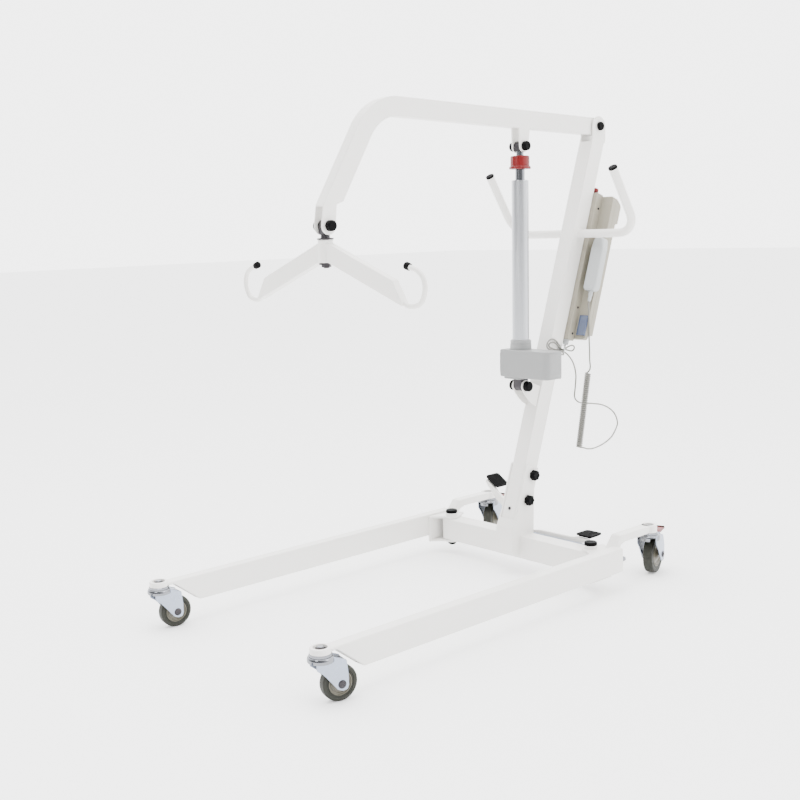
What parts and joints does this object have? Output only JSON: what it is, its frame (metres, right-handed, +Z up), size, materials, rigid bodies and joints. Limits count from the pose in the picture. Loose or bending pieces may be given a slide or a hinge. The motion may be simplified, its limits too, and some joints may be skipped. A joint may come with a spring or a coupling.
{
  "type": "patient lift",
  "caption": "Mobile patient lift: wheeled base with pedal-spread legs, leaning mast, bent boom raised by an electric actuator, and a spreader bar with hooks for a sling.",
  "frame": {"origin": "on the floor, at the middle of the lift's footprint", "axes": "+Z up, +Y towards the push handle, +X towards the side of the pedal that closes the legs"},
  "size_m": [0.6613, 1.2938, 1.2023],
  "materials": {
    "white_powder_coat": "warm white powder coat, satin",
    "black_plastic": "moulded, matt",
    "zinc_plate": "bright zinc plate on pressed steel",
    "chrome": "polished",
    "dark_steel": "dark oxide finish",
    "grey_tyre": "grey moulded tread",
    "beige_hub": "moulded, satin",
    "anodised_aluminium": "extruded and anodised, satin",
    "motor_grey": "moulded, fine texture",
    "box_beige": "moulded, fine texture",
    "pendant_grey": "moulded, satin",
    "cord_grey": "smooth flexible sheath",
    "red_plastic": "moulded, glossy"
  },
  "bodies": {
    "base": {"base_frame": "white_powder_coat", "leg_pivot_bolt_left": "black_plastic", "leg_pivot_bolt_right": "black_plastic", "mast": "white_powder_coat", "mast_bolt_upper": "black_plastic", "mast_bolt_lower": "black_plastic", "boom_pivot_bolt": "black_plastic", "push_handle": "white_powder_coat", "handle_cap_left": "black_plastic", "handle_cap_right": "black_plastic", "actuator_lower_pin": "black_plastic", "control_box": "box_beige", "battery_pack": "box_beige", "pendant": "pendant_grey", "pendant_cord_upper": "cord_grey", "pendant_cord_coil": "cord_grey", "pendant_cord_lower": "cord_grey", "motor_cable": "cord_grey", "cable_tie": "pendant_grey"},
    "boom_arm": {"boom": "white_powder_coat", "actuator_top_pin_left": "black_plastic", "actuator_top_pin_right": "black_plastic", "swing_pin": "black_plastic"},
    "actuator_body": {"motor_housing": "motor_grey", "tube_collar": "motor_grey", "actuator_tube": "anodised_aluminium"},
    "rod": {"actuator_rod": "chrome"},
    "release_collar": {"lowering_collar": "red_plastic"},
    "hanger": {"swing_bracket": "dark_steel"},
    "spreader": {"spreader_bar": "white_powder_coat", "hook_tip_left": "black_plastic", "hook_tip_right": "black_plastic"},
    "pedals": {"pedal_rocker": "white_powder_coat", "pedal_pad_left": "black_plastic", "pedal_pad_right": "black_plastic"},
    "link_left": {"tie_rod_left": "zinc_plate"},
    "link_right": {"tie_rod_right": "zinc_plate"},
    "stop_button": {"emergency_stop": "red_plastic"},
    "up_key": {"up_button": "black_plastic"},
    "down_key": {"down_button": "black_plastic"},
    "left_leg": {"leg_left": "white_powder_coat", "front_left_caster_stem": "zinc_plate", "rear_left_caster_stem": "zinc_plate"},
    "front_left_fork": {"front_left_caster_fork": "zinc_plate"},
    "front_left_wheel": {"front_left_tyre": "grey_tyre", "front_left_wheel_hub": "beige_hub"},
    "rear_left_fork": {"rear_left_caster_fork": "zinc_plate"},
    "rear_left_wheel": {"rear_left_tyre": "grey_tyre", "rear_left_wheel_hub": "beige_hub"},
    "rear_left_brake": {"rear_left_brake_pedal": "red_plastic"},
    "right_leg": {"leg_right": "white_powder_coat", "front_right_caster_stem": "zinc_plate", "rear_right_caster_stem": "zinc_plate"},
    "front_right_fork": {"front_right_caster_fork": "zinc_plate"},
    "front_right_wheel": {"front_right_tyre": "grey_tyre", "front_right_wheel_hub": "beige_hub"},
    "rear_right_fork": {"rear_right_caster_fork": "zinc_plate"},
    "rear_right_wheel": {"rear_right_tyre": "grey_tyre", "rear_right_wheel_hub": "beige_hub"},
    "rear_right_brake": {"rear_right_brake_pedal": "red_plastic"}
  },
  "joints": [
    {"name": "boom_lift", "type": "hinge", "parent": "base", "child": "boom_arm", "pos_m": [0, 0.605, 1.161], "axis": [-1, 0, 0], "range_deg": [-3, 55]},
    {"name": "actuator_tilt", "type": "hinge", "parent": "base", "child": "actuator_body", "pos_m": [0, 0.3015, 0.4911], "axis": [-1, 0, 0], "range_deg": [-0.5, 5.2]},
    {"name": "rod_extend", "type": "slide", "parent": "actuator_body", "child": "rod", "axis": [0, 0.0137, 0.9999], "range_m": [-0.016, 0.272]},
    {"name": "collar_pull", "type": "slide", "parent": "rod", "child": "release_collar", "axis": [0, 0.0137, 0.9999], "range_m": [0, 0.006], "stiffness_N_per_m": 300},
    {"name": "hanger_swing", "type": "hinge", "parent": "boom_arm", "child": "hanger", "pos_m": [0, -0.329, 0.916], "axis": [1, 0, 0], "range_deg": [-20, 70]},
    {"name": "spreader_turn", "type": "hinge", "parent": "hanger", "child": "spreader", "pos_m": [0, -0.329, 0.886], "axis": [0, 0, 1], "continuous": true},
    {"name": "pedal_rock", "type": "hinge", "parent": "base", "child": "pedals", "pos_m": [0, 0.324, 0.08], "axis": [0, -1, 0], "range_deg": [0, 33]},
    {"name": "link_right_slide", "type": "slide", "parent": "base", "child": "link_right", "axis": [-1, 0, 0], "range_m": [0, 0.009]},
    {"name": "link_left_slide", "type": "slide", "parent": "base", "child": "link_left", "axis": [1, 0, 0], "range_m": [0, 0.009]},
    {"name": "leg_right_spread", "type": "hinge", "parent": "base", "child": "right_leg", "pos_m": [0.2452, 0.278, 0.07], "axis": [0, 0, 1], "range_deg": [0, 12.6]},
    {"name": "leg_left_spread", "type": "hinge", "parent": "base", "child": "left_leg", "pos_m": [-0.2452, 0.278, 0.07], "axis": [0, 0, -1], "range_deg": [0, 12.6]},
    {"name": "front_left_swivel", "type": "hinge", "parent": "left_leg", "child": "front_left_fork", "pos_m": [-0.3022, -0.6209, 0.1], "axis": [0, 0, 1], "continuous": true},
    {"name": "front_left_roll", "type": "hinge", "parent": "front_left_fork", "child": "front_left_wheel", "pos_m": [-0.29802, -0.58534, 0.0375], "axis": [0.9932, -0.1167, 0], "continuous": true},
    {"name": "rear_left_swivel", "type": "hinge", "parent": "left_leg", "child": "rear_left_fork", "pos_m": [-0.2833, 0.4675, 0.1], "axis": [0, 0, 1], "continuous": true},
    {"name": "rear_left_roll", "type": "hinge", "parent": "rear_left_fork", "child": "rear_left_wheel", "pos_m": [-0.29442, 0.50174, 0.05], "axis": [0.9511, 0.309, 0], "continuous": true},
    {"name": "rear_left_brake_press", "type": "hinge", "parent": "rear_left_fork", "child": "rear_left_brake", "pos_m": [-0.29149, 0.4927, 0.107], "axis": [-0.9511, -0.309, 0], "range_deg": [0, 12]},
    {"name": "front_right_swivel", "type": "hinge", "parent": "right_leg", "child": "front_right_fork", "pos_m": [0.3022, -0.6209, 0.1], "axis": [0, 0, 1], "continuous": true},
    {"name": "front_right_roll", "type": "hinge", "parent": "front_right_fork", "child": "front_right_wheel", "pos_m": [0.31019, -0.586, 0.0375], "axis": [0.9748, -0.2233, 0], "continuous": true},
    {"name": "rear_right_swivel", "type": "hinge", "parent": "right_leg", "child": "rear_right_fork", "pos_m": [0.2833, 0.4675, 0.1], "axis": [0, 0, 1], "continuous": true},
    {"name": "rear_right_roll", "type": "hinge", "parent": "rear_right_fork", "child": "rear_right_wheel", "pos_m": [0.27218, 0.50174, 0.05], "axis": [0.9511, 0.309, 0], "continuous": true},
    {"name": "rear_right_brake_press", "type": "hinge", "parent": "rear_right_fork", "child": "rear_right_brake", "pos_m": [0.27511, 0.4927, 0.107], "axis": [-0.9511, -0.309, 0], "range_deg": [0, 12]},
    {"name": "stop_press", "type": "slide", "parent": "base", "child": "stop_button", "axis": [0, -0.3223, -0.9466], "range_m": [0, 0.0035], "stiffness_N_per_m": 400},
    {"name": "up_press", "type": "slide", "parent": "base", "child": "up_key", "axis": [0, -0.9466, 0.3223], "range_m": [0, 0.0012], "stiffness_N_per_m": 600},
    {"name": "down_press", "type": "slide", "parent": "base", "child": "down_key", "axis": [0, -0.9466, 0.3223], "range_m": [0, 0.0012], "stiffness_N_per_m": 600}
  ],
  "couplings": [
    {"joint": "actuator_tilt", "follows": "boom_lift", "ratio": 0.0875},
    {"joint": "rod_extend", "follows": "boom_lift", "m_per_rad": 0.2823},
    {"joint": "link_right_slide", "follows": "pedal_rock", "m_per_rad": 0.015121},
    {"joint": "link_left_slide", "follows": "pedal_rock", "m_per_rad": 0.015121},
    {"joint": "leg_right_spread", "follows": "pedal_rock", "ratio": 0.37879},
    {"joint": "leg_left_spread", "follows": "pedal_rock", "ratio": 0.37879}
  ]
}
